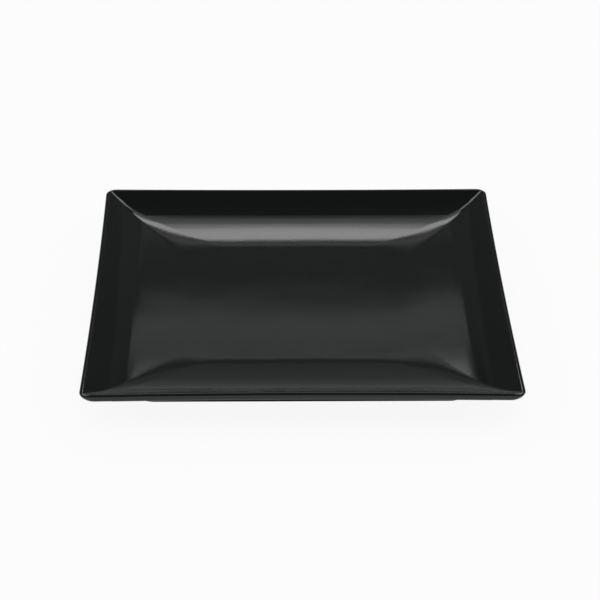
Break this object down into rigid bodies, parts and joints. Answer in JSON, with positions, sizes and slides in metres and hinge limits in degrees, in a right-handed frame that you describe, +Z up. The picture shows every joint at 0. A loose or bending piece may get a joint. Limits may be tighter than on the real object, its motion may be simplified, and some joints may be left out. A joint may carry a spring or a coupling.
{
  "type": "square dinner plate",
  "caption": "Shallow square dinner plate with hollow swept walls that meet in mitred corners, a narrow flat rim and a low square foot ring with rounded corners.",
  "frame": {"origin": "centre of the face that the plate stands on, at the foot's bearing face", "axes": "+Z up out of the well, +X and +Y square to the sides"},
  "size_m": [0.265, 0.265, 0.024],
  "materials": {
    "clay": "fired stoneware clay, hidden under the glaze",
    "bare_clay": "unglazed fired stoneware, dry and slightly rough",
    "black_glaze": "satin black glaze"
  },
  "bodies": {
    "root": {"clay_body": "clay", "foot_ring": "bare_clay", "face_glaze": "black_glaze", "back_glaze": "black_glaze", "recess_glaze": "black_glaze"}
  },
  "joints": []
}
